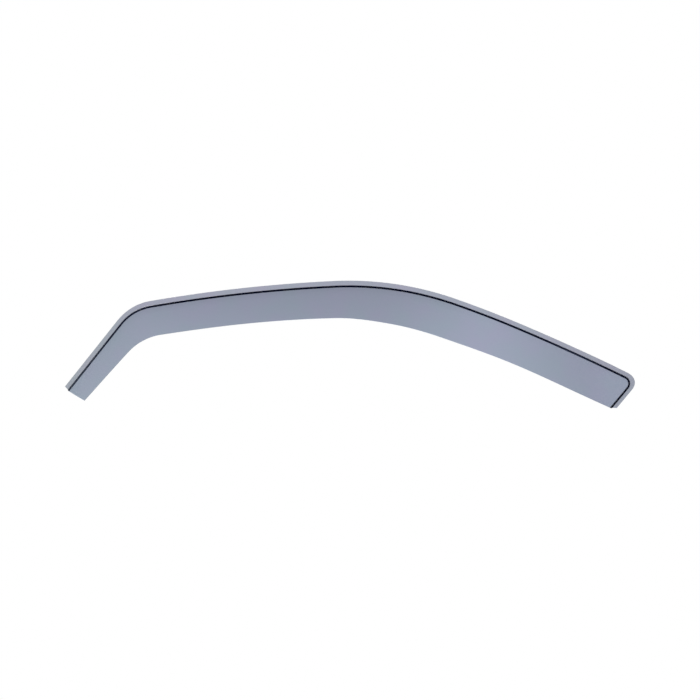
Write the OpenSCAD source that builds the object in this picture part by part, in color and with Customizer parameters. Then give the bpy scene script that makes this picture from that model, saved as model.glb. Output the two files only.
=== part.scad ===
// Window rain deflector for one car door, of the kind that is pushed into the window channel.
// It is one thermoformed acrylic sheet. A narrow flange enters the channel, a joggle steps out
// over the channel's lip, and the visor hangs below it and sheds the rain.
// X runs along the door, Z is up and -Y faces out of the car. The origin lies at the crown,
// in the middle of the flange's width, on the face that lies against the window glass.
// All lengths are in millimetres and all slopes in degrees above the horizontal.

/* [Sheet] */
// Thickness of the acrylic sheet
sheet_t = 3; // [2:0.1:3.5]
// Thickness of the flange, thinned to enter the channel
flange_t = 2.4; // [1.8:0.1:3]
// Bevel along every cut edge
edge_ease = 0.6; // [0.2:0.05:0.8]

/* [Flange and joggle] */
// Width of the flange on the roof rail and crown, from the middle of the joggle to its outer edge
flange_w = 8.8; // [7:0.1:11]
// Width of the flange on the leg
leg_flange_w = 8; // [7:0.1:10]
// Width of the flange on the tail
tail_flange_w = 8.2; // [7:0.1:10]
// Width of the flange where the heel's corner starts
corner_in_flange_w = 7.9; // [6:0.1:9]
// Width of the flange in the middle of the heel's corner
corner_flange_w = 9.1; // [6:0.1:10]
// Width of the flange on the straight heel
heel_flange_w = 7.1; // [5:0.1:9]
// Length over which the flange narrows before the heel's corner
corner_lead = 30; // [15:1:60]
// Step from the flange's inner face out to the visor's inner face
joggle_step = 4; // [3.5:0.1:6]
// Steepest slope of the joggle's wall against the flange
joggle_slope = 72; // [60:1:75]
// Inside radius of the joggle's two bends
joggle_r = 0.7; // [0.3:0.1:1.5]

/* [Joggle line] */
// Length of the straight leg
leg_len = 126.3; // [100:0.1:170]
// Slope of the leg
leg_slope = 51.5; // [44:0.5:60]
// Radius of the elbow above the leg
elbow_r = 71; // [65:1:110]
// Slope where the elbow meets the roof rail
rail_slope = 9.8; // [6:0.1:14]
// Length of the roof rail
rail_len = 277; // [200:1:340]
// Slope where the roof rail meets the crown
crown_slope = 2.7; // [1:0.1:5]
// Length of the crown
crown_len = 183; // [150:1:240]
// Slope where the crown meets the shoulder
shoulder_slope = -19.1; // [-22:0.1:-14]
// Length of the shoulder
shoulder_len = 101.5; // [70:0.5:130]
// Slope where the shoulder meets the tail
tail_slope = -22.8; // [-25:0.1:-20]
// Length of the tail
tail_len = 178; // [150:1:230]
// Slope of the tail at the heel's corner
tail_end_slope = -26; // [-30:0.1:-23]
// Radius of the heel's corner
heel_r = 10.2; // [8:0.1:16]
// Slope of the heel, the short end that runs down to the hem
heel_slope = -129.8; // [-136:0.1:-120]
// Length of the straight heel
heel_len = 38.9; // [34:0.1:42]

/* [Visor] */
// Width of the visor at the leg's cut end
leg_end_w = 28; // [24:0.1:34]
// Width of the visor at the knee, where the hem starts its bend into the roof rail
knee_w = 34.6; // [30:0.1:38]
// Distance along the leg from the knee to the elbow
knee_len = 24; // [15:1:50]
// Width of the visor at the hip, where the hem's bend ends
hip_w = 43.4; // [40:0.1:50]
// Distance along the roof rail from the elbow to the hip
hip_len = 9; // [5:1:40]
// Width of the visor half way along the roof rail
rail_w = 44.5; // [40:0.1:50]
// Width of the visor where the crown starts
crown_w = 46.7; // [42:0.1:52]
// Width of the visor half way along the crown
crown_mid_w = 51.2; // [44:0.1:56]
// Width of the visor where the shoulder starts
shoulder_w = 53; // [46:0.1:58]
// Width of the visor where the tail starts
tail_w = 51; // [46:0.1:56]
// How far the hem flares out of the visor's plane
hem_flare = 5; // [0:0.5:12]
// Angle from square of the cut across the leg's visor
leg_cut = 7; // [-10:0.5:15]
// Angle from square of the cut across the leg's flange
leg_flange_cut = -4; // [-15:0.5:15]
// Angle from square of the cut across the heel's flange
heel_flange_cut = 38; // [0:0.5:45]

/* [Window glass] */
// Radius of the glass along the door
glass_bow_r = 6000; // [3000:100:12000]
// Radius of the glass from top to bottom
glass_roll_r = 1400; // [900:50:3000]

/* [Fineness] */
// Steps in each bend of the joggle
bend_steps = 4; // [2:1:5]
// Rows across the visor
rows = 9; // [6:1:12]

/* [Hidden] */
acrylic = [0.55, 0.58, 0.65, 0.85];

rad = PI / 180;
elbow_len = elbow_r * (leg_slope - rail_slope) * rad;
corner_len = heel_r * (tail_end_slope - heel_slope) * rad;

// The joggle line as a chain of runs: length, slope at its start, slope at its end, steps
runs = [
    [leg_len, leg_slope, leg_slope, 8],
    [elbow_len, leg_slope, rail_slope, 14],
    [rail_len, rail_slope, crown_slope, 16],
    [crown_len, crown_slope, shoulder_slope, 18],
    [shoulder_len, shoulder_slope, tail_slope, 7],
    [tail_len, tail_slope, tail_end_slope, 14],
    [corner_len, tail_end_slope, heel_slope, 8],
    [heel_len, heel_slope, heel_slope, 1]
];
RAIL = 2;
CROWN = 3;
SHOULDER = 4;
TAIL = 5;
CORNER = 6;
HEEL = 7;

// Place after a distance along a run: [x, z, slope]
function travel(start, run, dist) =
    let (slope = run[1] + (run[2] - run[1]) * dist / run[0])
    abs(run[1] - run[2]) < 0.001
        ? [start[0] + dist * cos(slope), start[1] + dist * sin(slope), slope]
        : let (r = run[0] / ((run[1] - run[2]) * rad))
          [start[0] + r * (sin(run[1]) - sin(slope)), start[1] + r * (cos(slope) - cos(run[1])), slope];

// Distance from the leg's end to the start of a run, and the place there
function run_dist(i) = i == 0 ? 0 : run_dist(i - 1) + runs[i - 1][0];
function run_place(i) = i == 0 ? [0, 0, leg_slope] : travel(run_place(i - 1), runs[i - 1], runs[i - 1][0]);
run_dists = [for (i = [0 : len(runs)]) run_dist(i)];
run_places = [for (i = [0 : len(runs) - 1]) run_place(i)];
function run_of(dist, i = 0) = i == len(runs) - 1 || dist < run_dists[i + 1] ? i : run_of(dist, i + 1);

// Place on the joggle line, measured from its highest point
function raw_line(dist) =
    let (i = run_of(dist))
    travel(run_places[i], runs[i], dist - run_dists[i]);
crown_top_dist = run_dists[CROWN] + crown_len * crown_slope / (crown_slope - shoulder_slope);
crown_top = raw_line(crown_top_dist) + [0, flange_w / 2, 0];
function line_at(dist) = raw_line(dist) - [crown_top[0], crown_top[1], 0];
line_len = run_dists[HEEL] + heel_len;
line_end = line_at(line_len);

// Stations along the line, up to the middle of the heel's corner
corner_mid = run_dists[CORNER] + corner_len / 2;
corner_rows = runs[CORNER][3] / 2;
stations = concat(
    [0, edge_ease],
    [for (i = [0 : TAIL]) for (k = [1 : runs[i][3]]) run_dists[i] + runs[i][0] * k / runs[i][3]],
    [for (k = [1 : corner_rows]) run_dists[CORNER] + corner_len / 2 * k / corner_rows]
);
n = len(stations) - 1;
tail_station = len([for (s = stations) if (s < run_dists[TAIL] + 0.001) s]) - 1;

// Rows lie closer together beside the joggle, and the last two hold the bevel of the cut edge
row_crowding = 1.5;
function row_depth(j, depth) = j == rows ? depth : (depth - edge_ease) * pow(j / (rows - 1), row_crowding);
// The rows end at stations of their own, round the rest of the corner and down the heel
function heel_station(j) =
    j == rows ? line_len
    : j <= corner_rows ? corner_mid + corner_len / 2 * j / corner_rows
    : run_dists[HEEL] + (heel_len - edge_ease) * (j - corner_rows) / (rows - 1 - corner_rows);
all_stations = concat(stations, [for (j = [1 : rows]) heel_station(j)]);
last = n + rows;

// Section across the flange and the joggle, from the outer edge in to the joggle's foot.
// Each point is [distance from the line, height above the glass, tilt, half thickness].
flange_mid = flange_t / 2;
visor_mid = joggle_step + sheet_t / 2;
rise = visor_mid - flange_mid;
bend_r = min(joggle_r + sheet_t / 2, 0.98 * rise / 2 / (1 - cos(joggle_slope)));
wall_len = (rise - 2 * bend_r * (1 - cos(joggle_slope))) / sin(joggle_slope);
foot = bend_r * sin(joggle_slope) + wall_len * cos(joggle_slope) / 2;
bend_points = 2 * (bend_steps + 1);
function half_t(point) = (flange_t + (sheet_t - flange_t) * point / (bend_points - 1)) / 2;
function edge_bend(k) =
    let (a = joggle_slope * k / bend_steps)
    [foot - bend_r * sin(a), flange_mid + bend_r * (1 - cos(a)), a, half_t(k)];
function foot_bend(k) =
    let (a = joggle_slope * (1 - k / bend_steps))
    [bend_r * sin(a) - foot, visor_mid - bend_r * (1 - cos(a)), a, half_t(bend_steps + 1 + k)];
function section(width) = concat(
    [[width, flange_mid, 0, flange_t / 2 - edge_ease], [width - edge_ease, flange_mid, 0, flange_t / 2]],
    [for (k = [0 : bend_steps]) edge_bend(k)],
    [for (k = [0 : bend_steps]) foot_bend(k)]
);
across = len(section(flange_w)) - 1;

// Share of the way along from a to b, and the same with soft ends
function share(s, a, b) = min(max((s - a) / (b - a), 0), 1);
function soft(f) = f * f * (3 - 2 * f);

// Cubic from a to b, leaving a at rate ra and reaching b at rate rb, at a share f of the way
function cubic(a, b, ra, rb, f) =
    a * (1 + 2 * f) * pow(1 - f, 2) + b * f * f * (3 - 2 * f)
        + ra * f * pow(1 - f, 2) - rb * f * f * (1 - f);

// Smooth law through the widths at named distances, without overshoot between them
function gap(t, i) = t[i + 1][0] - t[i][0];
function rate(t, i) = (t[i + 1][1] - t[i][1]) / gap(t, i);
function knot_rate(t, i) =
    i == 0 ? rate(t, 0)
    : i == len(t) - 1 ? rate(t, len(t) - 2)
    : rate(t, i - 1) * rate(t, i) <= 0 ? 0
    : 3 * (gap(t, i - 1) + gap(t, i))
        / ((2 * gap(t, i) + gap(t, i - 1)) / rate(t, i - 1) + (gap(t, i) + 2 * gap(t, i - 1)) / rate(t, i));
function knot_of(t, s, i = 0) = i == len(t) - 2 || s < t[i + 1][0] ? i : knot_of(t, s, i + 1);
function law(t, s) =
    let (i = knot_of(t, s), f = share(s, t[i][0], t[i + 1][0]))
    cubic(t[i][1], t[i + 1][1], knot_rate(t, i) * gap(t, i), knot_rate(t, i + 1) * gap(t, i), f);

// Widths of the flange
flange_knots = [
    [0, leg_flange_w],
    [leg_len, leg_flange_w],
    [run_dists[RAIL], flange_w],
    [run_dists[CROWN], flange_w],
    [run_dists[TAIL], tail_flange_w],
    [run_dists[CORNER] - corner_lead, tail_flange_w],
    [run_dists[CORNER], corner_in_flange_w],
    [corner_mid, corner_flange_w],
    [run_dists[HEEL], heel_flange_w],
    [line_len, heel_flange_w]
];

// Widths of the visor, whose hem takes a bend of its own from the knee to the hip
knee_dist = leg_len - knee_len;
hip_dist = run_dists[RAIL] + hip_len;
visor_knots = [
    [0, leg_end_w],
    [knee_dist, knee_w],
    [hip_dist, hip_w],
    [run_dists[RAIL] + rail_len / 2, rail_w],
    [run_dists[CROWN], crown_w],
    [run_dists[CROWN] + crown_len / 2, crown_mid_w],
    [run_dists[SHOULDER], shoulder_w],
    [run_dists[TAIL], tail_w]
];

// Directions along the line and across it, towards the visor
function ahead(place) = [cos(place[2]), sin(place[2])];
function inward(place) = [sin(place[2]), -cos(place[2])];
// The heel's visor is cut in line with the hem that reaches it across the tail
tail_foot = let (p = line_at(run_dists[TAIL])) [p[0], p[1]] + inward(p) * tail_w;
heel_cut = atan2(line_end[1] - tail_foot[1], line_end[0] - tail_foot[0]) - heel_slope - 90;
// Point beside the line, at a depth towards the visor, leaned to follow the cuts of both ends
function lean(s, depth) =
    let (leg = depth > 0 ? leg_cut : leg_flange_cut, heel = depth > 0 ? heel_cut : heel_flange_cut)
    tan(leg) * (1 - share(s, 0, leg_len)) + tan(heel) * share(s, run_dists[HEEL], line_len);
function beside(s, depth) =
    let (p = line_at(s))
    [p[0], p[1]] + (inward(p) + ahead(p) * lean(s, depth)) * depth;

// The hem beside a distance along the line, and its direction there
function law_hem(s) = beside(s, law(visor_knots, s));
probe = 0.5;
function hem_way(s) =
    let (way = law_hem(s + probe) - law_hem(s - probe))
    way / norm(way);
// In the elbow the hem takes a bend of its own, from the knee to the hip
bend_start = law_hem(knee_dist);
bend_end = law_hem(hip_dist);
bend_chord = norm(bend_end - bend_start);
function bend_hem(f) =
    cubic(bend_start, bend_end, hem_way(knee_dist) * bend_chord, hem_way(hip_dist) * bend_chord, f);
// Along the tail it runs on to the end of the heel, from its direction just before
tail_hem_start = law_hem(run_dists[TAIL]);
tail_way = hem_way(run_dists[TAIL] - probe);
tail_hem_end = beside(all_stations[last], foot);
tail_chord = tail_hem_end - tail_hem_start;
function tail_share(i) = share(stations[i], run_dists[TAIL], stations[n]);
function tail_hem(f) =
    cubic(tail_hem_start, tail_hem_end, tail_way * norm(tail_chord), tail_chord, f);
function hem(i) =
    let (s = stations[i])
    s > knee_dist && s < hip_dist ? bend_hem(share(s, knee_dist, hip_dist))
    : i > tail_station ? tail_hem(tail_share(i))
    : law_hem(s);
hems = [for (i = [0 : n]) hem(i)];
feet = [for (s = all_stations) beside(s, foot)];

// Share of the visor's depth at a row of a station
function row_share(i, j) =
    let (depth = norm(hems[i] - feet[i]))
    row_depth(j, depth) / depth;
function ruled(i, j) = feet[i] + (hems[i] - feet[i]) * row_share(i, j);

// The tail's panel is stretched between its first ruling, the line, the hem and the heel
function panel(i, j) =
    let (f = tail_share(i), v = row_share(i, j))
    let (sides = ruled(tail_station, j) * (1 - f) + feet[n + j] * f)
    let (top_chord = feet[tail_station] * (1 - f) + feet[n] * f)
    let (hem_chord = hems[tail_station] * (1 - f) + hems[n] * f)
    sides + (feet[i] - top_chord) * (1 - v) + (hems[i] - hem_chord) * v;
function visor_point(i, j) = i < tail_station ? ruled(i, j) : panel(i, j);

// Flare of the visor: full at the hem, none at the joggle, and it fades along the tail to the heel
flare_fade = 0.45;
function flare(i, j) =
    hem_flare * pow(row_share(i, j), 2) * (1 - soft(share(tail_share(i), flare_fade, 1)));

// Point at a height above the window glass, which bows along the door and rolls in below
function on_glass(p, height) =
    let (bow = sqrt(pow(glass_bow_r, 2) - p[0] * p[0]), roll = sqrt(pow(glass_roll_r, 2) - p[1] * p[1]))
    let (out = [p[0] / bow, -1, p[1] / roll])
    [p[0], glass_bow_r - bow + glass_roll_r - roll, p[1]] + out * height / norm(out);

// Both faces of the sheet: side is 1 on the outer face and -1 on the face towards the glass
function ribbon_point(k, a, side) =
    let (q = section(law(flange_knots, all_stations[k]))[a])
    let (cut = (k == 0 || k == last) && a > 0 ? edge_ease : 0)
    let (h = side * (q[3] - cut))
    on_glass(beside(all_stations[k], -q[0] - h * sin(q[2])), q[1] + h * cos(q[2]));
function sheet_point(i, j, side) =
    let (h = side * (sheet_t / 2 - (i == 0 || j == rows ? edge_ease : 0)))
    on_glass(visor_point(i, j), visor_mid + flare(i, j) + h);
function face_points(side) = concat(
    [for (k = [0 : last]) for (a = [0 : across]) ribbon_point(k, a, side)],
    [for (j = [1 : rows]) for (i = [0 : n - 1]) sheet_point(i, j, side)]
);

// Numbers of the points: the visor shares its top row and its last column with the ribbon
function rib(k, a) = k * (across + 1) + a;
function vis(i, j) =
    j == 0 ? rib(i, across)
    : i == n ? rib(n + j, across)
    : (last + 1) * (across + 1) + (j - 1) * n + i;
per_face = (last + 1) * (across + 1) + rows * n;
quads = concat(
    [for (k = [0 : last - 1]) for (a = [0 : across - 1])
        [rib(k, a), rib(k, a + 1), rib(k + 1, a + 1), rib(k + 1, a)]],
    [for (i = [0 : n - 1]) for (j = [0 : rows - 1])
        [vis(i, j), vis(i, j + 1), vis(i + 1, j + 1), vis(i + 1, j)]]
);
rim = concat(
    [for (k = [0 : last - 1]) rib(k, 0)],
    [for (a = [0 : across - 1]) rib(last, a)],
    [for (i = [n : -1 : 1]) vis(i, rows)],
    [for (j = [rows : -1 : 1]) vis(0, j)],
    [for (a = [across : -1 : 1]) rib(0, a)]
);
rim_n = len(rim);

module deflector() {
    color(acrylic)
    polyhedron(
        points = concat(face_points(1), face_points(-1)),
        faces = concat(
            [for (q = quads) [q[3], q[2], q[1], q[0]]],
            [for (q = quads) [q[0] + per_face, q[1] + per_face, q[2] + per_face, q[3] + per_face]],
            [for (i = [0 : rim_n - 1])
                [rim[(i + 1) % rim_n], rim[i], rim[i] + per_face, rim[(i + 1) % rim_n] + per_face]]
        ),
        convexity = 6
    );
}

deflector();
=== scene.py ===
# %% [markdown]
# # A window rain deflector in smoke acrylic
# One sheet of smoke-tinted acrylic, cut to a curved outline and formed hot over a mould. A narrow
# flange is pushed up into the window channel of a car door. A joggle, the tight S-shaped bend,
# steps out over the channel's lip, and the broad visor hangs below it in front of the open window.
# The lesson makes the sheet flat first, as a maker cuts it, and then forms it with a tree of
# geometry nodes. Lengths are written in millimetres and slopes in degrees, as in the part's source.

# %% Tools and the fixed frame
import math

import bpy
import numpy as np
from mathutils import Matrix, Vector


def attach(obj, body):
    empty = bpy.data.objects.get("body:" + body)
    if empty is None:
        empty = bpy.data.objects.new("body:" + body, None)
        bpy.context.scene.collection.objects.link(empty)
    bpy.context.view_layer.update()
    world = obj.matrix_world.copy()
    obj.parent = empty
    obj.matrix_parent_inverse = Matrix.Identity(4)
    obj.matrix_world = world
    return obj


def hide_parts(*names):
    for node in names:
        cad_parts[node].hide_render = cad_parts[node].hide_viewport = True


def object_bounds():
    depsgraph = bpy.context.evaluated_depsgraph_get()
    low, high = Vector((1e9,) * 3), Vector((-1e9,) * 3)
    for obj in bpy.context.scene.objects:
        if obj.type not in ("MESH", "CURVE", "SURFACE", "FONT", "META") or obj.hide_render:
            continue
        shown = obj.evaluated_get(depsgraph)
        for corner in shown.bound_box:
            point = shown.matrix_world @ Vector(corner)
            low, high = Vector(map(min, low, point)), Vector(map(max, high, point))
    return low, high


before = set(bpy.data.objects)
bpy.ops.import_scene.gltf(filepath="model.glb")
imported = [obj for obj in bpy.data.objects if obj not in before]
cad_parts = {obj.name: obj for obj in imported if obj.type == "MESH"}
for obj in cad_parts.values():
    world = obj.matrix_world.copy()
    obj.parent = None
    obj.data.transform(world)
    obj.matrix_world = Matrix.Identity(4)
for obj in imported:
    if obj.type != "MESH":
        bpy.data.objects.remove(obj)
cad_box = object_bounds()
MM = 0.001
print("CAD box, mm:", [[round(c / MM, 1) for c in corner] for corner in cad_box])

# %% [markdown]
# ## Colour and node helpers
# Blender computes with linear light, while a colour picked from a screen is sRGB. One function
# turns a hex value to linear. A second one adds a node, sets its properties and links its inputs,
# for geometry trees and materials alike, so that a tree reads as a list of steps.


# %% Helpers
def linear(hex_colour, alpha=1.0):
    """An sRGB hex colour as linear red, green, blue and alpha."""
    parts = [int(hex_colour[i : i + 2], 16) / 255 for i in (0, 2, 4)]
    return [p / 12.92 if p <= 0.04045 else ((p + 0.055) / 1.055) ** 2.4 for p in parts] + [alpha]


def add(tree, kind, settings=None, *inputs, **named):
    """Adds a node. Settings are a dict, or the name of an operation. Inputs are values, sockets or
    nodes (their first output), and None leaves an input alone."""
    made = tree.nodes.new(kind)
    if isinstance(settings, str):
        settings = {"operation": settings}
    for name, value in (settings or {}).items():
        setattr(made, name, value)
    wanted = [(made.inputs[i], value) for i, value in enumerate(inputs)]
    wanted += [(made.inputs[name.replace("_", " ")], value) for name, value in named.items()]
    for socket, value in wanted:
        if value is None:
            continue
        if isinstance(value, bpy.types.Node):
            value = value.outputs[0]
        if isinstance(value, bpy.types.NodeSocket):
            tree.links.new(value, socket)
        else:
            socket.default_value = value
    return made


print("smoke blue-grey in linear light:", [round(c, 3) for c in linear("939FB4")])

# %% [markdown]
# ## The joggle line
# Everything hangs on one line, the middle of the joggle. Seen from outside it is a chain of runs:
# leg, elbow, roof rail, crown, shoulder, tail, the heel's corner and the heel. It could be drawn as
# a free curve, but a maker lays it out with straights and arcs, and then each run is one length that
# can be changed by itself. The slope is written once for each joint of two runs and changes evenly
# between them, so a run is a straight or an arc, and the chain has no kinks.

# %% Runs of the line
LEG, ELBOW, RAIL, CROWN, SHOULDER, TAIL, CORNER, HEEL = range(8)
# The slope where each run starts, and at the end of the heel
SLOPES = [51.5, 51.5, 9.8, 2.7, -19.1, -22.8, -26.0, -129.8, -129.8]
ELBOW_R, HEEL_R = 71.0, 10.2


def arc_len(radius, run):
    """Length of a run that turns at this radius."""
    return radius * math.radians(SLOPES[run] - SLOPES[run + 1])


RUN_LENS = [126.3, arc_len(ELBOW_R, ELBOW), 277.0, 183.0, 101.5, 178.0, arc_len(HEEL_R, CORNER), 38.9]
RUNS = np.array([RUN_LENS, SLOPES[:-1], SLOPES[1:]]).T
START = np.concatenate([[0.0], np.cumsum(RUN_LENS)])
LINE_LEN = START[-1]
print("runs, mm:", np.round(RUN_LENS, 1), "and the whole line:", round(LINE_LEN, 1))


# %% Places on the line
def travel(place, run, dist):
    """Place after a distance along a run: x, z and slope, for one distance or many."""
    length, slope_0, slope_1 = run
    slope = slope_0 + (slope_1 - slope_0) * dist / length
    a, b = np.radians(slope_0), np.radians(slope)
    if slope_0 == slope_1:
        x, z = dist * np.cos(a), dist * np.sin(a)
    else:
        r = length / math.radians(slope_0 - slope_1)
        x, z = r * (np.sin(a) - np.sin(b)), r * (np.cos(b) - np.cos(a))
    return np.stack([place[0] + x, place[1] + z, slope], -1)


PLACES = [np.array([0.0, 0.0, SLOPES[LEG]])]
for row in RUNS[:-1]:
    PLACES.append(travel(PLACES[-1], row, row[0]))


def raw_line(dist):
    """Places at distances from the leg's end, in a frame that starts there."""
    dist = np.atleast_1d(np.asarray(dist, float))
    of = np.clip(np.searchsorted(START, dist, side="right") - 1, LEG, HEEL)
    out = np.zeros((len(dist), 3))
    for i in range(len(RUNS)):
        out[of == i] = travel(PLACES[i], RUNS[i], dist[of == i] - START[i])
    return out


FLANGE_W = 8.8
TOP_DIST = START[CROWN] + RUN_LENS[CROWN] * SLOPES[CROWN] / (SLOPES[CROWN] - SLOPES[SHOULDER])
CROWN_TOP = raw_line(TOP_DIST)[0] + [0.0, FLANGE_W / 2, 0.0]
CROWN_TOP[2] = 0.0


def line_at(dist):
    """Places on the joggle line in the part's own frame, whose origin is the flange at the crown."""
    return raw_line(dist) - CROWN_TOP


print("the crown's top is", round(TOP_DIST, 1), "mm from the leg's end")

# %% [markdown]
# ## Widths beside the line
# The flange is a little narrower on the leg, the tail and the heel. The visor's width is known at
# eight places, and a smooth law joins them. A monotone cubic is used, because it passes through each
# width without swinging past it in between, as a plain spline would.


# %% Smooth laws
def share(s, a, b):
    """How far s has gone from a to b, from 0 to 1."""
    return np.clip((s - a) / (b - a), 0, 1)


def soft(f):
    """A share that starts and ends gently."""
    return f * f * (3 - 2 * f)


def cubic(a, b, rate_a, rate_b, f):
    """Cubic from a to b, leaving a at one rate and reaching b at another."""
    between = a * (1 + 2 * f) * (1 - f) ** 2 + b * f * f * (3 - 2 * f)
    return between + rate_a * f * (1 - f) ** 2 - rate_b * f * f * (1 - f)


def law(knots, s):
    """Monotone cubic through knots of [distance, width]."""
    knots = np.array(knots)
    gap = np.diff(knots[:, 0])
    rate = np.diff(knots[:, 1]) / gap
    slope = np.concatenate([[rate[0]], np.zeros(len(rate) - 1), [rate[-1]]])
    for i in range(1, len(rate)):
        if rate[i - 1] * rate[i] > 0:
            fore, aft = 2 * gap[i] + gap[i - 1], gap[i] + 2 * gap[i - 1]
            slope[i] = (fore + aft) / (fore / rate[i - 1] + aft / rate[i])
    i = np.clip(np.searchsorted(knots[:, 0], s, side="right") - 1, 0, len(gap) - 1)
    f = share(s, knots[i, 0], knots[i + 1, 0])
    return cubic(knots[i, 1], knots[i + 1, 1], slope[i] * gap[i], slope[i + 1] * gap[i], f)


print("after a quarter of the way, a gentle start has gone", soft(0.25))

# %% [markdown]
# Inside the elbow the hem takes a bend of its own. It starts at the knee, a little before the elbow,
# and ends at the hip, a little past it, so both are places where a width is given.

# %% Knots of the widths
KNEE_LEN, HIP_LEN, CORNER_LEAD = 24.0, 9.0, 30.0
KNEE, HIP = START[ELBOW] - KNEE_LEN, START[RAIL] + HIP_LEN
CORNER_MID = (START[CORNER] + START[HEEL]) / 2
FLANGE_KNOTS = [
    [0, 8.0],
    [START[ELBOW], 8.0],
    [START[RAIL], FLANGE_W],
    [START[CROWN], FLANGE_W],
    [START[TAIL], 8.2],
    [START[CORNER] - CORNER_LEAD, 8.2],
    [START[CORNER], 7.9],
    [CORNER_MID, 9.1],
    [START[HEEL], 7.1],
    [LINE_LEN, 7.1],
]
VISOR_KNOTS = [
    [0, 28.0],
    [KNEE, 34.6],
    [HIP, 43.4],
    [(START[RAIL] + START[CROWN]) / 2, 44.5],
    [START[CROWN], 46.7],
    [(START[CROWN] + START[SHOULDER]) / 2, 51.2],
    [START[SHOULDER], 53.0],
    [START[TAIL], 51.0],
]
print("visor widths at the knots, mm:", [w for _, w in VISOR_KNOTS])

# %% [markdown]
# ## Section of the joggle
# The sheet leaves the flange in a bend, climbs a steep wall and turns back in a second bend, all
# within five millimetres. Flat acrylic takes more length for that than the formed sheet shows from
# outside. A maker adds the difference, the draw, to the flat blank.

# %% Sizes of the section
SHEET_T, FLANGE_T, EASE = 3.0, 2.4, 0.6
STEP, WALL_SLOPE, BEND_IN_R = 4.0, math.radians(72.0), 0.7
MOST_BEND = 0.98  # share of the rise that the two bends may take, so that some wall is left
RISE = STEP + SHEET_T / 2 - FLANGE_T / 2
BEND_R = min(BEND_IN_R + SHEET_T / 2, MOST_BEND * RISE / 2 / (1 - math.cos(WALL_SLOPE)))
HALF_WALL = (RISE / 2 - BEND_R * (1 - math.cos(WALL_SLOPE))) / math.sin(WALL_SLOPE)
HALF_LEN = BEND_R * WALL_SLOPE + HALF_WALL
FOOT = BEND_R * math.sin(WALL_SLOPE) + HALF_WALL * math.cos(WALL_SLOPE)
DRAW = HALF_LEN - FOOT
print(f"bend radius {BEND_R:.2f} mm in the middle of the sheet")
print(f"joggle {2 * FOOT:.2f} mm wide once formed and {2 * HALF_LEN:.2f} flat, draw {2 * DRAW:.2f}")

# %% [markdown]
# ## Points beside the line
# A point of the sheet is found by a distance along the line and a depth beside it. At the two ends
# the depth leans, so that the last column of points lies along the saw cut.

# %% Directions and cuts
TAIL_W = VISOR_KNOTS[-1][1]
LEG_CUT, LEG_FLANGE_CUT, HEEL_FLANGE_CUT = 7.0, -4.0, 38.0
PROBE = 0.5  # a direction is taken from two places this far before and after


def ways(place):
    """Directions along the line and across it, towards the visor."""
    a = np.radians(place[:, 2])
    return np.stack([np.cos(a), np.sin(a)], -1), np.stack([np.sin(a), -np.cos(a)], -1)


tail_place, heel_place = line_at(START[TAIL]), line_at(LINE_LEN)
to_heel = heel_place[0, :2] - (tail_place[0, :2] + ways(tail_place)[1][0] * TAIL_W)
HEEL_CUT = math.degrees(math.atan2(to_heel[1], to_heel[0])) - SLOPES[HEEL] - 90


def across(s, visor_side):
    """Direction across the sheet at distances along the line, leaned to the cuts of both ends."""
    ahead, inward = ways(line_at(s))
    leg = np.tan(np.radians(np.where(visor_side, LEG_CUT, LEG_FLANGE_CUT)))
    heel = np.tan(np.radians(np.where(visor_side, HEEL_CUT, HEEL_FLANGE_CUT)))
    lean = leg * (1 - share(s, 0, START[ELBOW])) + heel * share(s, START[HEEL], LINE_LEN)
    return inward + ahead * lean[:, None]


def beside(s, depth):
    """Points at a depth towards the visor."""
    s, depth = np.atleast_1d(np.asarray(s, float)), np.atleast_1d(np.asarray(depth, float))
    return line_at(s)[:, :2] + across(s, depth > 0) * depth[:, None]


def law_hem(s):
    """Points of the hem where its width alone says where it is."""
    s = np.atleast_1d(np.asarray(s, float))
    return beside(s, law(VISOR_KNOTS, s))


def hem_way(s):
    """Direction of the hem there, from two points close to each other."""
    way = (law_hem(s + PROBE) - law_hem(s - PROBE))[0]
    return way / np.linalg.norm(way)


print("cut of the heel, from square, degrees:", round(HEEL_CUT, 1))

# %% [markdown]
# ## Stations and rows
# The flat sheet is a grid of stations along the line and rows across it. Every cut edge is rounded
# over by flame polishing, so the last steps before an edge follow a quarter circle: each has an
# inset from the edge, and a drop by which the face sinks towards the middle of the sheet. A bevel
# modifier would round an edge as well, but these steps are part of the grid, so the forming carries
# them like every other point.

# %% Rounded edges
ROUND_STEPS = 4
turn = np.radians(np.linspace(0, 90, ROUND_STEPS + 1))
INSET, DROP = EASE * (1 - np.sin(turn)), EASE * (1 - np.cos(turn))
print("insets and drops of a rounded edge, mm:", np.round(INSET, 2), np.round(DROP, 2))

# %% Stations and rows
RUN_STEPS = [56, 34, 110, 90, 46, 80]  # stations in each run from the leg to the tail
CORNER_ROWS, HEEL_ROWS = 10, 20
ROWS = CORNER_ROWS + HEEL_ROWS + ROUND_STEPS
CROWDING = 1.5

stations = [INSET[::-1][:-1], np.linspace(EASE, START[ELBOW], RUN_STEPS[LEG] + 1)]
for i in range(ELBOW, TAIL + 1):
    stations.append(np.linspace(START[i], START[i + 1], RUN_STEPS[i] + 1)[1:])
stations.append(np.linspace(START[CORNER], CORNER_MID, CORNER_ROWS + 1)[1:])
stations = np.concatenate(stations)
HEEL_AT = len(stations) - 1  # the middle of the heel's corner, where the heel's own rows begin
heel_stations = np.concatenate([
    np.linspace(CORNER_MID, START[HEEL], CORNER_ROWS + 1)[1:],
    np.linspace(START[HEEL], LINE_LEN - EASE, HEEL_ROWS + 1)[1:],
    LINE_LEN - INSET[1:],
])
all_stations = np.concatenate([stations, heel_stations])
LAST = len(all_stations) - 1
TAIL_AT = int(np.argmin(np.abs(stations - START[TAIL])))
along_drop = np.zeros(LAST + 1)
along_drop[: ROUND_STEPS + 1] = DROP[::-1]
along_drop[-ROUND_STEPS - 1 :] = DROP


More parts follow.
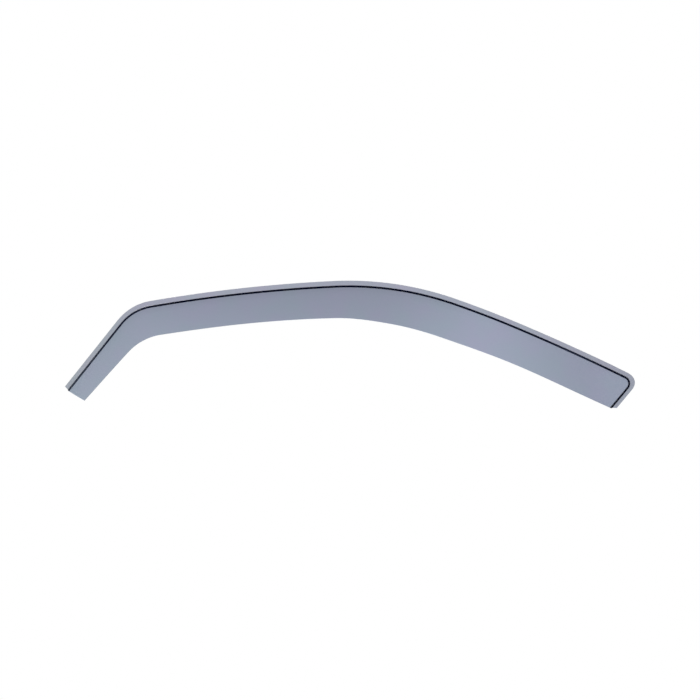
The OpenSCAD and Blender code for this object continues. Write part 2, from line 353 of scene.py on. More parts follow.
def row_depths(depth):
    """Depths of the rows below the joggle for a visor of this depth: close together at the top."""
    flat = np.linspace(0, 1, CORNER_ROWS + HEEL_ROWS + 1) ** CROWDING
    return np.concatenate([np.outer(depth - EASE, flat), depth[:, None] - INSET[1:]], 1)


print(LAST + 1, "stations along the line and", ROWS, "rows across the visor")

# %% [markdown]
# ## The hem
# The hem is the lower edge of the visor. Most of it follows the widths. Inside the elbow it takes a
# bend of its own, and along the tail it runs on in one sweep to the end of the heel. Both stretches
# are cubics that leave and arrive in line with what they join.

# %% Points of the hem, seen square on
feet = beside(all_stations, np.full(LAST + 1, FOOT))
hems = law_hem(stations)

in_bend = (stations > KNEE) & (stations < HIP)
knee_at, hip_at = law_hem(KNEE)[0], law_hem(HIP)[0]
chord = np.linalg.norm(hip_at - knee_at)
f = share(stations[in_bend], KNEE, HIP)[:, None]
hems[in_bend] = cubic(knee_at, hip_at, hem_way(KNEE) * chord, hem_way(HIP) * chord, f)

tail_share = share(stations, START[TAIL], stations[HEEL_AT])
in_tail = np.arange(HEEL_AT + 1) > TAIL_AT
tail_start, tail_end = law_hem(START[TAIL])[0], feet[LAST]
tail_chord = tail_end - tail_start
leaving = hem_way(START[TAIL] - PROBE) * np.linalg.norm(tail_chord)
hems[in_tail] = cubic(tail_start, tail_end, leaving, tail_chord, tail_share[in_tail][:, None])
print("hem from", np.round(hems[0], 1), "to", np.round(hems[-1], 1))

# %% [markdown]
# ## The visor's panel
# Up to the tail the rows are ruled straight from the joggle's foot to the hem. The tail ends in the
# heel, where the rows run into the line itself, so there the panel is stretched between its four
# sides, as a canvas is on a frame.

# %% Points of the visor, seen square on
depth = np.linalg.norm(hems - feet[: HEEL_AT + 1], axis=1)
row_share = row_depths(depth) / depth[:, None]
visor = feet[: HEEL_AT + 1, None] + (hems - feet[: HEEL_AT + 1])[:, None] * row_share[..., None]

f = tail_share[in_tail][:, None, None]
v = row_share[in_tail][..., None]
sides = visor[TAIL_AT][None] * (1 - f) + feet[HEEL_AT:][None] * f
top, top_chord = feet[: HEEL_AT + 1][in_tail][:, None], feet[TAIL_AT] * (1 - f) + feet[HEEL_AT] * f
low, low_chord = hems[in_tail][:, None], hems[TAIL_AT] * (1 - f) + hems[HEEL_AT] * f
visor[in_tail] = sides + (top - top_chord) * (1 - v) + (low - low_chord) * v
print("the visor is up to", round(depth.max(), 1), "mm deep")

# %% [markdown]
# The saw didn't cut the leg quite straight: its end reaches furthest out beside the joggle and bows
# back towards the hem. The whole leg is stretched by that much at its end and by nothing at the
# elbow, so that the stations stay evenly spaced.

# %% The leg's saw cut
CUT_REACH, CUT_BOW = 0.85, 1.3
leg_end = -ways(line_at(all_stations))[0] * (1 - share(all_stations, 0, START[ELBOW]))[:, None]
bow = (1 - row_share) * (CUT_REACH + CUT_BOW * row_share)
visor += leg_end[: HEEL_AT + 1, None] * bow[..., None]
print("the leg's cut reaches up to", round(bow[0].max(), 2), "mm past the straight one")

# %% [markdown]
# ## The flat blank
# The blank is what a laser or a router cuts: the outline, three millimetres thick, and thinned at
# the flange. Every point carries what the forming needs to know about it: its flat distance from the
# joggle line, the direction across the sheet, and how much of the flare it takes.

# %% Flange and joggle, a ribbon along the line
FLANGE_ROWS, BEND_ROWS, WALL_ROWS = 8, 12, 4
bend_len = BEND_R * WALL_SLOPE
joggle = np.concatenate([
    np.linspace(-HALF_LEN, -HALF_LEN + bend_len, BEND_ROWS + 1),
    np.linspace(-HALF_WALL, HALF_WALL, WALL_ROWS + 1)[1:],
    np.linspace(HALF_LEN - bend_len, HALF_LEN, BEND_ROWS + 1)[1:],
])
edge = law(FLANGE_KNOTS, all_stations)[:, None] + DRAW
flat_rows = np.linspace(0, 1, FLANGE_ROWS + 1)[1:-1]
ribbon_from = np.concatenate([
    INSET[::-1][None, :] - edge,
    (EASE - edge) * (1 - flat_rows) - HALF_LEN * flat_rows,
    np.tile(joggle, (LAST + 1, 1)),
], 1)
ACROSS = ribbon_from.shape[1] - 1

side_ways = [across(all_stations, np.full(LAST + 1, visor_side)) for visor_side in (False, True)]
ribbon_way = np.where(ribbon_from[..., None] > 0, side_ways[1][:, None], side_ways[0][:, None])
ribbon_at = line_at(all_stations)[:, None, :2] + ribbon_way * ribbon_from[..., None]
ribbon_at += leg_end[:, None] * (CUT_REACH * np.clip(1 + ribbon_from / edge, 0, 1))[..., None]
print("the ribbon has", ACROSS + 1, "points across")

# %% Visor of the blank
HEM_FLARE, FLARE_FADE = 5.0, 0.45
column_way = side_ways[1][: HEEL_AT + 1, None] * (1 - tail_share)[:, None, None]
visor_way = column_way + side_ways[1][HEEL_AT:][None] * tail_share[:, None, None]
visor_at = visor + visor_way * DRAW
flare = row_share**2 * (1 - soft(share(tail_share, FLARE_FADE, 1)))[:, None]
print("the flare is whole up to", round(FLARE_FADE * 100), "% of the tail, and gone at its end")

# %% [markdown]
# The thickness is kept as half of it, because each face lies that far from the middle of the sheet.
# It thins from the visor to the flange across the joggle, and it falls off where an edge is rounded.
# At a corner of the sheet two rounded edges meet, and together they make a piece of a ball.


# %% Half thicknesses
def half_thickness(dist):
    """Half the sheet's thickness at a flat distance from the joggle line."""
    return (FLANGE_T + (SHEET_T - FLANGE_T) * share(dist, -HALF_LEN, HALF_LEN)) / 2


def rounded(drop_a, drop_b):
    """The drop at a corner, where two rounded edges meet."""
    reach_a, reach_b = (EASE**2 - (EASE - drop) ** 2 for drop in (drop_a, drop_b))
    return EASE - np.sqrt(np.maximum(EASE**2 - reach_a - reach_b, 0))


ribbon_drop = np.zeros(ACROSS + 1)
ribbon_drop[: ROUND_STEPS + 1] = DROP[::-1]
row_drop = np.concatenate([np.zeros(CORNER_ROWS + HEEL_ROWS), DROP])
ribbon_half = half_thickness(ribbon_from) - rounded(along_drop[:, None], ribbon_drop[None])
visor_half = SHEET_T / 2 - rounded(along_drop[: HEEL_AT + 1, None], row_drop[None])
print("half thickness, mm, from", round(ribbon_half.min(), 2), "to", round(visor_half.max(), 2))

# %% [markdown]
# The ribbon of flange and joggle and the panel of the visor share their points along the foot of the
# joggle and down the heel, so the grid has no seam. The mesh is closed: an outer face, an inner face
# and the cut edge between them. Only a closed solid can hold the tint inside it.

# %% Numbers of the points
ribbon_count = (LAST + 1) * (ACROSS + 1)
per_face = ribbon_count + ROWS * HEEL_AT
ribbon_no = np.arange(ribbon_count).reshape(LAST + 1, ACROSS + 1)
visor_no = np.zeros((HEEL_AT + 1, ROWS + 1), int)
visor_no[:, 0] = ribbon_no[: HEEL_AT + 1, ACROSS]
visor_no[HEEL_AT] = ribbon_no[HEEL_AT:, ACROSS]
visor_no[:HEEL_AT, 1:] = (ribbon_count + np.arange(ROWS * HEEL_AT)).reshape(HEEL_AT, ROWS)


def points_of(ribbon, panel):
    """One row of values per point of a face, from the ribbon's grid and the panel's."""
    own = panel[:HEEL_AT, 1:].reshape(ROWS * HEEL_AT, -1)
    return np.concatenate([ribbon.reshape(ribbon_count, -1), own])


def grid_quads(numbers):
    """The four-sided faces between the points of a grid."""
    corners = [numbers[:-1, :-1], numbers[:-1, 1:], numbers[1:, 1:], numbers[1:, :-1]]
    return np.stack(corners, -1).reshape(-1, 4)


print(per_face, "points on each side of the sheet")

# %% Mesh of the blank
plan = points_of(ribbon_at, visor_at)
half = points_of(ribbon_half, visor_half)[:, 0]
points = [np.stack([plan[:, 0], -side * half, plan[:, 1]], -1) for side in (1, -1)]
quads = np.concatenate([grid_quads(ribbon_no), grid_quads(visor_no)])
outline = np.concatenate([  # all round the sheet: flange, heel's cut, hem and leg's cut
    ribbon_no[:-1, 0],
    ribbon_no[LAST, :-1],
    visor_no[HEEL_AT:0:-1, ROWS],
    visor_no[0, ROWS:0:-1],
    ribbon_no[0, ACROSS:0:-1],
])
after = np.roll(outline, -1)
cut_edge = np.stack([outline, after, after + per_face, outline + per_face], -1)
faces = np.concatenate([quads, quads[:, ::-1] + per_face, cut_edge])

blank = bpy.data.meshes.new("flat_blank")
blank.from_pydata(np.concatenate(points) * MM, [], faces.tolist())
blank.validate()
print("flat blank:", round(np.ptp(plan[:, 0]), 1), "mm long, with", len(blank.polygons), "faces")


# %% What each point knows
def store(name, kind, values):
    """Keeps one value for each point of the blank, on both of its faces."""
    field = "vector" if kind == "FLOAT_VECTOR" else "value"
    on_both = np.tile(values.ravel(), 2).astype(np.float32)
    blank.attributes.new(name, kind, "POINT").data.foreach_set(field, on_both)


panel_from = HALF_LEN + row_share * depth[:, None]
way = points_of(ribbon_way, np.broadcast_to(visor_way, visor.shape))
store("from_line", "FLOAT", points_of(ribbon_from, panel_from) * MM)
store("across", "FLOAT_VECTOR", np.stack([way[:, 0], 0 * way[:, 0], way[:, 1]], -1))
store("flare", "FLOAT", points_of(0 * ribbon_from, flare))
print("kept on the points: from_line, across, flare")

# %% [markdown]
# ## Thermoforming as a tree of geometry nodes
# Heated acrylic takes the shape of the mould at every point by the same rule, and a rule for every
# point is what a geometry tree is made for. The sizes are named inputs, so another door needs new
# numbers and no new mesh.

# %% Inputs of the forming tree
form = bpy.data.node_groups.new("Thermoforming", "GeometryNodeTree")
form.interface.new_socket("Geometry", in_out="OUTPUT", socket_type="NodeSocketGeometry")
form.interface.new_socket("Geometry", in_out="INPUT", socket_type="NodeSocketGeometry")
SIZES = {
    "Step": RISE * MM,
    "Middle of the step": (FLANGE_T / 2 + RISE / 2) * MM,
    "Wall slope": WALL_SLOPE,
    "Bend radius": BEND_R * MM,
    # half widths of the band of faces that get the wall's painted shade, and where it narrows
    "Half width of the dark wall": 1.3 * MM,
    "Half width down the leg": 0.95 * MM,
    "Dark wall narrows from": -260 * MM,
    "Dark wall is narrow from": -360 * MM,
    "Hem flare": HEM_FLARE * MM,
    "Glass bow radius": 6000 * MM,
    "Glass roll radius": 1400 * MM,
}
for name in SIZES:
    form.interface.new_socket(name, in_out="INPUT", socket_type="NodeSocketFloat")
given = add(form, "NodeGroupInput").outputs
print("inputs of the tree:", list(SIZES))

# %% [markdown]
# From a point's flat distance the tree finds how far round the bends it has gone, counted from the
# nearer end of the joggle. Up to the length of one bend the tilt grows evenly, and past it the point
# lies on the straight wall.

# %% Round the bends
MATH, VECTOR, HELD = "ShaderNodeMath", "ShaderNodeVectorMath", "GeometryNodeInputNamedAttribute"
slope, radius = given["Wall slope"], given["Bend radius"]
sine, cosine = add(form, MATH, "SINE", slope), add(form, MATH, "COSINE", slope)
bend_climb = add(form, MATH, "MULTIPLY", radius, add(form, MATH, "SUBTRACT", 1.0, cosine))
half_rise = add(form, MATH, "MULTIPLY", given["Step"], 0.5)
half_wall = add(form, MATH, "DIVIDE", add(form, MATH, "SUBTRACT", half_rise, bend_climb), sine)
half_len = add(form, MATH, "MULTIPLY_ADD", radius, slope, half_wall)
foot = add(form, MATH, "MULTIPLY_ADD", half_wall, cosine, add(form, MATH, "MULTIPLY", radius, sine))

from_line = add(form, HELD, None, "from_line")
to_end = add(form, MATH, "SUBTRACT", half_len, add(form, MATH, "ABSOLUTE", from_line))
gone = add(form, MATH, "MAXIMUM", to_end, 0.0)
tilt = add(form, MATH, "MINIMUM", add(form, MATH, "DIVIDE", gone, radius), slope)
past = add(form, MATH, "SUBTRACT", gone, add(form, MATH, "MULTIPLY", radius, slope))
past_bend = add(form, MATH, "MAXIMUM", past, 0.0)
print("nodes up to the tilt:", len(form.nodes))

# %% [markdown]
# From that come two lengths: how far the point is drawn in towards the joggle line, and how high it
# stands above the flange. The sheet's own thickness follows its tilt, so both faces keep their
# distance round the bends, and the flare lifts the hem on top of that.

# %% Drawn in and lifted
tilt_sine, tilt_cosine = add(form, MATH, "SINE", tilt), add(form, MATH, "COSINE", tilt)
bend_run = add(form, MATH, "MULTIPLY", radius, tilt_sine)
run = add(form, MATH, "MULTIPLY_ADD", past_bend, cosine, bend_run)
bend_high = add(form, MATH, "MULTIPLY", radius, add(form, MATH, "SUBTRACT", 1.0, tilt_cosine))
climb = add(form, MATH, "MULTIPLY_ADD", past_bend, sine, bend_high)
side = add(form, MATH, "SIGN", from_line)
once_flat, once_formed = add(form, MATH, "ADD", foot, gone), add(form, MATH, "ADD", half_len, run)
drawn = add(form, MATH, "SUBTRACT", once_flat, once_formed)
from_middle = add(form, MATH, "SUBTRACT", half_rise, climb)
stand = add(form, MATH, "MULTIPLY_ADD", side, from_middle, given["Middle of the step"])

flat = add(form, "ShaderNodeSeparateXYZ", None, add(form, "GeometryNodeInputPosition")).outputs
through = add(form, MATH, "MULTIPLY", flat[1], -1.0)
leaned = add(form, MATH, "MULTIPLY", through, tilt_sine)
shift = add(form, MATH, "SUBTRACT", add(form, MATH, "MULTIPLY", side, drawn), leaned)
height = add(form, MATH, "MULTIPLY_ADD", through, tilt_cosine, stand)
height = add(form, MATH, "MULTIPLY_ADD", add(form, HELD, None, "flare"), given["Hem flare"], height)
print("nodes up to the height:", len(form.nodes))

# %% [markdown]
# Last, the sheet is wrapped onto the window glass, which bows along the door and rolls in from top
# to bottom. Each point is laid on the glass and lifted along the direction that points out of it.

# %% Onto the window glass
flat_at = add(form, "ShaderNodeCombineXYZ", None, flat[0], 0.0, flat[2])
way_across = add(form, HELD, {"data_type": "FLOAT_VECTOR"}, "across")
carried = add(form, VECTOR, "SCALE", way_across, Scale=shift)
plan_at = add(form, "ShaderNodeSeparateXYZ", None, add(form, VECTOR, "ADD", flat_at, carried)).outputs
fall, lean = [], []
for axis, name in ((0, "Glass bow radius"), (2, "Glass roll radius")):
    glass_r, at = given[name], plan_at[axis]
    r_squared = add(form, MATH, "MULTIPLY", glass_r, glass_r)
    square = add(form, MATH, "SUBTRACT", r_squared, add(form, MATH, "MULTIPLY", at, at))
    reach = add(form, MATH, "SQRT", square)
    fall.append(add(form, MATH, "SUBTRACT", glass_r, reach))
    lean.append(add(form, MATH, "DIVIDE", at, reach))
behind = add(form, MATH, "ADD", *fall)
on_glass = add(form, "ShaderNodeCombineXYZ", None, plan_at[0], behind, plan_at[2])
outwards = add(form, "ShaderNodeCombineXYZ", None, lean[0], -1.0, lean[1])
lifted = add(form, VECTOR, "SCALE", add(form, VECTOR, "NORMALIZE", outwards), Scale=height)
finished = add(form, VECTOR, "ADD", on_glass, lifted)
print("nodes up to the finished place:", len(form.nodes))

# %% [markdown]
# The tree also notes how far each point will lie from the middle of the joggle, because the finish
# needs it, and only then moves the points: a field reads the geometry that flows into its node. The
# steep wall of the joggle is seen edge-on and looks nearly black, so its faces get a material of
# their own, an opaque painted shade. The band of such faces is narrower down the leg, where the dark
# line is finer.

# %% End of the tree
acrylic = bpy.data.materials.new("smoke_pmma_thermoformed")
painted_shade_wall_material = bpy.data.materials.new("joggle_wall_painted_shade")
from_joggle = add(form, MATH, "ADD", from_line, shift)
on_points = {"data_type": "FLOAT", "domain": "POINT"}
KEEP = "GeometryNodeStoreNamedAttribute"
noted = add(form, KEEP, on_points, given["Geometry"], None, "from_joggle", from_joggle)
formed = add(form, "GeometryNodeSetPosition", None, noted, None, finished)
smooth = add(form, "GeometryNodeSetShadeSmooth", None, formed)
real = add(form, "GeometryNodeRealizeInstances", None, smooth)
tinted = add(form, "GeometryNodeSetMaterial", None, real, Material=acrylic)

# faces close to the middle of the joggle get the wall's painted shade
off_joggle = add(form, MATH, "ABSOLUTE", add(form, HELD, None, "from_joggle"))
narrowing = [given["Dark wall narrows from"], given["Dark wall is narrow from"]]
widths = [given["Half width of the dark wall"], given["Half width down the leg"]]
half_width = add(form, "ShaderNodeMapRange", None, flat[0], *narrowing, *widths)
on_wall = add(form, MATH, "LESS_THAN", off_joggle, half_width)
done = add(form, "GeometryNodeSetMaterial", None, tinted, Selection=on_wall, Material=painted_shade_wall_material)
add(form, "NodeGroupOutput", None, done)
print("forming tree:", len(form.nodes), "nodes")

# %% [markdown]
# The tree is a modifier while it works. Its result is then taken as a plain mesh, which can't change
# any more and which other programs read too. The volume inside the mesh is a good test of it: it is
# positive only where the faces point outwards, and it should be close to the volume of the solid.

# %% Forming the sheet
flat_sheet = bpy.data.objects.new("flat_sheet", blank)
bpy.context.scene.collection.objects.link(flat_sheet)
forming = flat_sheet.modifiers.new("Thermoforming", "NODES")
forming.node_group = form
for item in form.interface.items_tree:
    if item.in_out == "INPUT" and item.name in SIZES:
        forming[item.identifier] = SIZES[item.name]

state = bpy.context.evaluated_depsgraph_get()
shape = bpy.data.meshes.new_from_object(flat_sheet.evaluated_get(state))
bpy.data.objects.remove(flat_sheet)
shape.name = "rain_deflector"
deflector = bpy.data.objects.new("rain_deflector", shape)
bpy.context.scene.collection.objects.link(deflector)
print("formed sheet:", len(shape.polygons) * 2, "triangles")

# %% Measures of the formed sheet
places = np.zeros(len(shape.vertices) * 3, np.float32)
shape.vertices.foreach_get("co", places)
places = places.reshape(-1, 3).astype(float) / MM
loops = np.zeros(len(shape.loops), np.int32)
shape.loops.foreach_get("vertex_index", loops)
a, b, c, d = (places[loops.reshape(-1, 4)[:, i]] for i in range(4))
volume = (np.einsum("ij,ij->i", a, np.cross(b, c)) + np.einsum("ij,ij->i", a, np.cross(c, d))).sum() / 6
print("its volume:", round(volume / 1000, 1), "cubic centimetres")
print("its box, mm:", np.round(places.min(0), 1), np.round(places.max(0), 1))

# %% [markdown]
# ## Smoke-tinted acrylic, thermoformed
# Cast PMMA with a blue-grey dye. The dye is in the plastic, so the tint belongs to the volume: light
# fades with each millimetre it travels, which makes the thin flange paler than the visor and the
# cut edges darker than both. A volume absorption shader does that, where a coloured surface would
# give every thickness the same tone.

# %% Tint of the volume
acrylic.use_nodes = True
look = acrylic.node_tree
look.nodes.clear()
out = add(look, "ShaderNodeOutputMaterial")
TINT, DENSITY = linear("93A1BF"), 533.0
tint = add(look, "ShaderNodeVolumeAbsorption", None, TINT, DENSITY)
look.links.new(tint.outputs[0], out.inputs["Volume"])
THICKNESS = SHEET_T * MM
print("light left after 3 mm:", [round(math.exp(-(1 - t) * DENSITY * THICKNESS), 3) for t in TINT[:3]])

# %% [markdown]
# Two things are painted into the tint as light and shade. Across the sheet, painted shade makes the
# visor a little darker under the joggle, clearing towards the hem. That is weaker at both ends.
# Along the door, painted light makes the visor palest in a pool on the shoulder. All of it is written
# as colour ramps with stops in millimetres, which are easy to read and to change.


# %% Ramps of the tint, with painted light and shade
def fill(ramp, kind, low, high, stops):
    """Gives a ramp its stops, which are [place, hex colour or grey] in a range from low to high."""
    bar = ramp.color_ramp
    bar.interpolation = kind
    while len(bar.elements) < len(stops):
        bar.elements.new(1.0)
    for element, (at, tone) in zip(bar.elements, stops):
        element.position = (at - low) / (high - low)
        element.color = linear(tone if len(tone) == 6 else tone * 3)


DOOR, SHEET = (-440, 440), (-10, 50)
beside_joggle = add(look, "ShaderNodeAttribute", {"attribute_name": "from_joggle"}).outputs["Fac"]
place = add(look, "ShaderNodeTexCoord").outputs["Object"]
along_door = add(look, "ShaderNodeSeparateXYZ", None, place).outputs[0]
RAMPS = {  # what is read, its range in mm, kind of ramp, stops of [mm, hex colour or grey]
    # painted shade under the joggle, clearing towards the hem
    "across": (beside_joggle, SHEET, "LINEAR", [
        [-1.5, "FF"], [0.5, "E8"], [6.0, "F0"], [11.0, "F6"], [24.0, "FA"], [45.0, "FF"],
    ]),
    # strength of that painted shade along the door, weaker at both ends
    "joggle_shade_strength": (along_door, DOOR, "EASE", [
        [-400, "A0"], [-300, "FF"], [130, "FF"], [210, "90"],
    ]),
    # painted light along the door, palest in a pool on the shoulder
    "visor": (along_door, DOOR, "CARDINAL", [
        [-400, "FAFFF9"], [-250, "F1"], [40, "EA"], [200, "FF"], [340, "F0"], [400, "F6"],
    ]),
    "flange": (along_door, DOOR, "EASE", [
        [-400, "EFEEE6"], [-290, "EEEAEA"], [230, "EEEAEA"], [430, "E4E0DF"],
    ]),
}
tones = {}
for name, (value, (low, high), kind, stops) in RAMPS.items():
    span = add(look, "ShaderNodeMapRange", None, value, low * MM, high * MM, 0.0, 1.0)
    tones[name] = add(look, "ShaderNodeValToRGB", None, span)
    fill(tones[name], kind, low, high, stops)
print("stops of the ramps:", {name: len(row[-1]) for name, row in RAMPS.items()})

# %% [markdown]
# The ramps meet in Mix nodes: flange and visor, with the visor's painted light, change over at the
# joggle, and the painted shade across the sheet is multiplied onto that. Stress that was locked in as
# the sheet cooled turns the tint a trace cooler or warmer in patches some centimetres wide, which a
# soft noise on a narrow ramp gives.

# %% Uneven tint, with painted light and shade
MIX, PAST = "ShaderNodeMix", [None] * 5  # its colour inputs come after a factor and five others
NOISE, CHANGE, PATCH_LEN = "ShaderNodeTexNoise", 0.5, 55.0
COOLER, WARMER = [0.36, "F9FFFC"], [0.64, "FFFBFF"]  # value of the noise, and the tint it gives
on_visor = add(look, "ShaderNodeMapRange", None, beside_joggle, -CHANGE * MM, CHANGE * MM, 0.0, 1.0)
blend, times = {"data_type": "RGBA"}, {"data_type": "RGBA", "blend_type": "MULTIPLY"}
# flange tone, then the visor's painted light along the door
along_tone = add(look, MIX, blend, on_visor, *PAST, tones["flange"], tones["visor"]).outputs[2]
# the painted shade under the joggle is multiplied onto it
tone = add(look, MIX, times, tones["joggle_shade_strength"], *PAST, along_tone, tones["across"]).outputs[2]

patches = add(look, NOISE, None, place, Scale=1 / (PATCH_LEN * MM), Detail=2.0, Roughness=0.55)
drift = add(look, "ShaderNodeValToRGB", None, patches)
fill(drift, "LINEAR", 0, 1, [COOLER, WARMER])
tone = add(look, MIX, times, 1.0, *PAST, tone, drift).outputs[2]
print("patches of", PATCH_LEN, "mm, nodes so far:", len(look.nodes))

# %% [markdown]
# A sheet that was formed hot is never quite flat again. Its skin keeps shallow waves about three
# centimetres long and a few hundredths of a millimetre high, which bend the reflections, and the
# mould leaves it slightly duller round the joggle than on the open visor, which stays glassy.

# %% Surface
WAVE_LEN, WAVE_HIGH = 32.0, 0.03
DULL_TO, GLASSY_FROM = 2.0, 5.0
DULL_ROUGHNESS, GLASSY_ROUGHNESS = 0.20, 0.03
ACRYLIC_IOR = 1.49
waves = add(look, NOISE, None, place, Scale=1 / (WAVE_LEN * MM), Detail=1.5, Roughness=0.4)
skin_normal = add(look, "ShaderNodeBump", None, Strength=1.0, Distance=WAVE_HIGH * MM, Height=waves)
either_side = add(look, MATH, "ABSOLUTE", beside_joggle)
reading = [either_side, DULL_TO * MM, GLASSY_FROM * MM, DULL_ROUGHNESS, GLASSY_ROUGHNESS]
dullness = add(look, "ShaderNodeMapRange", {"interpolation_type": "SMOOTHSTEP"}, *reading)
skin = add(
    look, "ShaderNodeBsdfPrincipled", None, tone,
    Roughness=dullness, IOR=ACRYLIC_IOR, Transmission_Weight=1.0, Normal=skin_normal,
)
look.links.new(skin.outputs[0], out.inputs["Surface"])
print("nodes of the acrylic:", len(look.nodes))

# %% [markdown]
# ## The joggle's wall
# Looked at square on, the steep faces of the wall turn most of the light behind them aside, so on
# the real sheet the wall is a nearly black line. A clear wall of this pitch renders far too pale, so
# that shade is painted on: the wall is given an opaque navy skin of painted shade without shine. The
# painted shade is darkest along the roof rail and paler down the leg and before the heel, and a fine
# noise breaks it up.

# %% Wall of painted shade
painted_shade_wall_material.use_nodes = True
dark = painted_shade_wall_material.node_tree
dark.nodes.clear()
MOTTLE_LEN, WALL_ROUGHNESS = 2.5, 0.35
DARKER_MOTTLE, PLAIN_MOTTLE = [0.35, "E0"], [0.70, "FF"]  # value of the noise, and the tone it gives the painted shade
wall_place = add(dark, "ShaderNodeTexCoord").outputs["Object"]
along_wall = add(dark, "ShaderNodeSeparateXYZ", None, wall_place).outputs[0]
span = add(dark, "ShaderNodeMapRange", None, along_wall, DOOR[0] * MM, DOOR[1] * MM, 0.0, 1.0)
navy = add(dark, "ShaderNodeValToRGB", None, span)
# painted shade of the wall: darkest along the roof rail, paler down the leg and before the heel
fill(navy, "EASE", *DOOR, [
    [-430, "404858"], [-340, "1A2036"], [-260, "02061C"], [40, "02061C"],
    [280, "0C1228"], [340, "262C42"], [400, "0D1228"],
])
# a fine noise makes the wall's painted shade uneven
shade_mottle = add(dark, NOISE, None, wall_place, Scale=1 / (MOTTLE_LEN * MM), Detail=3.0)
shade_mottle_tone = add(dark, "ShaderNodeValToRGB", None, shade_mottle)
fill(shade_mottle_tone, "LINEAR", 0, 1, [DARKER_MOTTLE, PLAIN_MOTTLE])
shade = add(dark, MIX, times, 1.0, *PAST, navy, shade_mottle_tone).outputs[2]
# an opaque skin without shine that carries the painted shade
painted_shade_skin = add(
    dark, "ShaderNodeBsdfPrincipled", None, shade,
    Roughness=WALL_ROUGHNESS, IOR=ACRYLIC_IOR, Specular_IOR_Level=0.0,
)
add(dark, "ShaderNodeOutputMaterial", None, painted_shade_skin)
print("nodes of the wall:", len(dark.nodes))

# %% [markdown]
# ## World and floor
# The photograph has a plain white ground. Making the light so strong that everything behind turns
# white would bleach the sheet as well. So the world and the floor light the sheet at a plain level,
# and only rays that look at them, also by way of the glossy and see-through acrylic, find white.
# The floor keeps the sheet's shadow, and further out it fades into the same white, so that no
# horizon shows, not even through the sheet.


# %% World
def looking_rays(tree):
    """1 for rays that look at the surroundings, and 0 for rays that carry light."""
    rays = add(tree, "ShaderNodeLightPath").outputs
    direct = add(tree, MATH, "MAXIMUM", rays["Is Camera Ray"], rays["Is Glossy Ray"])
    return add(tree, MATH, "MAXIMUM", direct, rays["Is Transmission Ray"])


WORLD_LIGHT, WHITE_SEEN = 0.45, 1.0
world = bpy.data.worlds.new("studio")
bpy.context.scene.world = world
world.use_nodes = True
sky = world.node_tree
sky.nodes.clear()
strength = add(sky, "ShaderNodeMapRange", None, looking_rays(sky), 0.0, 1.0, WORLD_LIGHT, WHITE_SEEN)
white = add(sky, "ShaderNodeBackground", None, linear("FFFFFF"), strength)
add(sky, "ShaderNodeOutputWorld", None, white)
print("world light:", WORLD_LIGHT, "and", WHITE_SEEN, "where it is looked at")

# %% Floor, matt white paper that takes a soft shadow
FLOOR_GAP, FLOOR_HALF = 0.2 * MM, 3.0
LIFT, FADE = 0.31, (0.62, 1.0)  # added light where looked at, and where the floor turns plain white
floor_z = cad_box[0].z - FLOOR_GAP
floor_corners = [(x * FLOOR_HALF, y * FLOOR_HALF, floor_z) for x, y in ((-1, -1), (1, -1), (1, 1), (-1, 1))]
floor_mesh = bpy.data.meshes.new("floor")
floor_mesh.from_pydata(floor_corners, [], [(0, 1, 2, 3)])
floor = bpy.data.objects.new("floor", floor_mesh)
bpy.context.scene.collection.objects.link(floor)

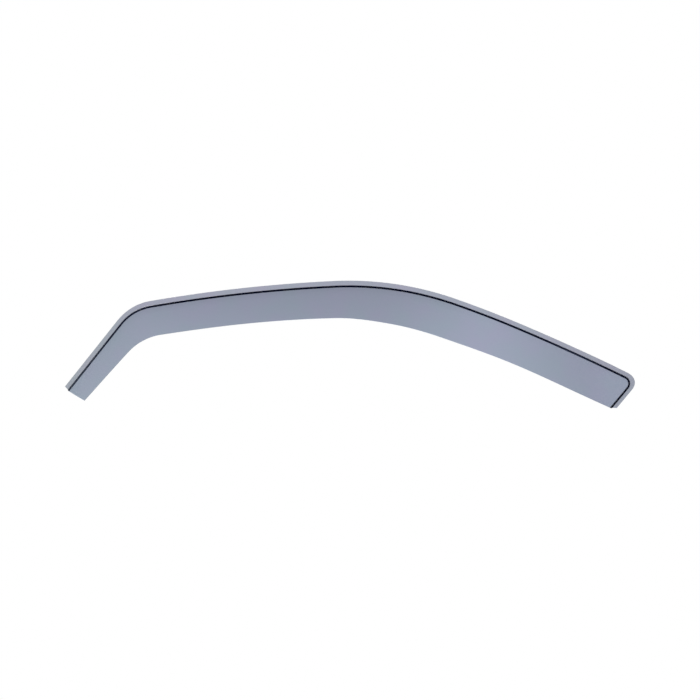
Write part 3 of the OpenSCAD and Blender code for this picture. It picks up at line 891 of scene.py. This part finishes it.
paper = bpy.data.materials.new("white_paper_matt")
floor_mesh.materials.append(paper)
paper.use_nodes = True
ground = paper.node_tree
ground.nodes.clear()
looking = looking_rays(ground)
matt = add(ground, "ShaderNodeBsdfDiffuse", None, linear("E0E0E0"))
lift = add(ground, MATH, "MULTIPLY", looking, LIFT)
glow = add(ground, "ShaderNodeEmission", None, linear("FFFFFF"), lift)
near = add(ground, "ShaderNodeAddShader", None, matt, glow)
far_white = add(ground, "ShaderNodeEmission", None, linear("FFFFFF"), WHITE_SEEN)
far = add(ground, "ShaderNodeMixShader", None, looking, matt, far_white)
floor_place = add(ground, "ShaderNodeTexCoord").outputs["Object"]
away = add(ground, VECTOR, "LENGTH", floor_place).outputs["Value"]
fade = add(ground, "ShaderNodeMapRange", {"interpolation_type": "SMOOTHSTEP"}, away, *FADE, 0.0, 1.0)
both = add(ground, "ShaderNodeMixShader", None, fade, near, far)
add(ground, "ShaderNodeOutputMaterial", None, both)
print("floor", round(FLOOR_GAP / MM, 1), "mm below the CAD box")

# %% [markdown]
# ## Lamps and camera
# Three large soft lamps stand round the sheet, the strongest in front on the left. Each is aimed at
# the middle of the sheet. The photograph looks at the sheet square on and shows no perspective, so
# the camera is orthographic, and its width is the real width of the picture.

# %% Lamps
AIM = Vector((0, 0, -0.1))
LAMPS = {  # place in metres, size in metres, power in watts
    "key_softbox": ((-1.1, -1.5, 1.7), 1.1, 27.0),
    "fill_softbox": ((1.5, -1.2, 1.3), 1.4, 9.0),
    "rear_softbox": ((0.3, 1.6, 1.5), 1.2, 8.0),
}
for name, (lamp_place, size, power) in LAMPS.items():
    lamp = bpy.data.lights.new(name, "AREA")
    lamp.size, lamp.energy = size, power
    holder = bpy.data.objects.new(name, lamp)
    holder.location = lamp_place
    aim = AIM - holder.location
    holder.rotation_euler = aim.to_track_quat("-Z", "Y").to_euler()
    bpy.context.scene.collection.objects.link(holder)
print("lamps, W:", {name: row[-1] for name, row in LAMPS.items()})

# %% Camera
PICTURE_PX, MM_PER_PX = 700, 1.5
CENTRE, DISTANCE = (0.00159, -0.0997), 2.0  # middle of the picture, x and z, in metres
camera = bpy.data.cameras.new("camera")
camera.type, camera.ortho_scale = "ORTHO", PICTURE_PX * MM_PER_PX * MM
holder = bpy.data.objects.new("camera", camera)
holder.location = (CENTRE[0], -DISTANCE, CENTRE[1])
holder.rotation_euler = (math.radians(90), 0, 0)
bpy.context.scene.collection.objects.link(holder)
bpy.context.scene.camera = holder
bpy.context.scene.view_settings.view_transform = "Standard"
print("the picture is", round(camera.ortho_scale, 2), "m wide")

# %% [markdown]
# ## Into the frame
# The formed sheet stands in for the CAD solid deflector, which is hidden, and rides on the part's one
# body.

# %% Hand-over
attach(deflector, "root")
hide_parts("deflector")
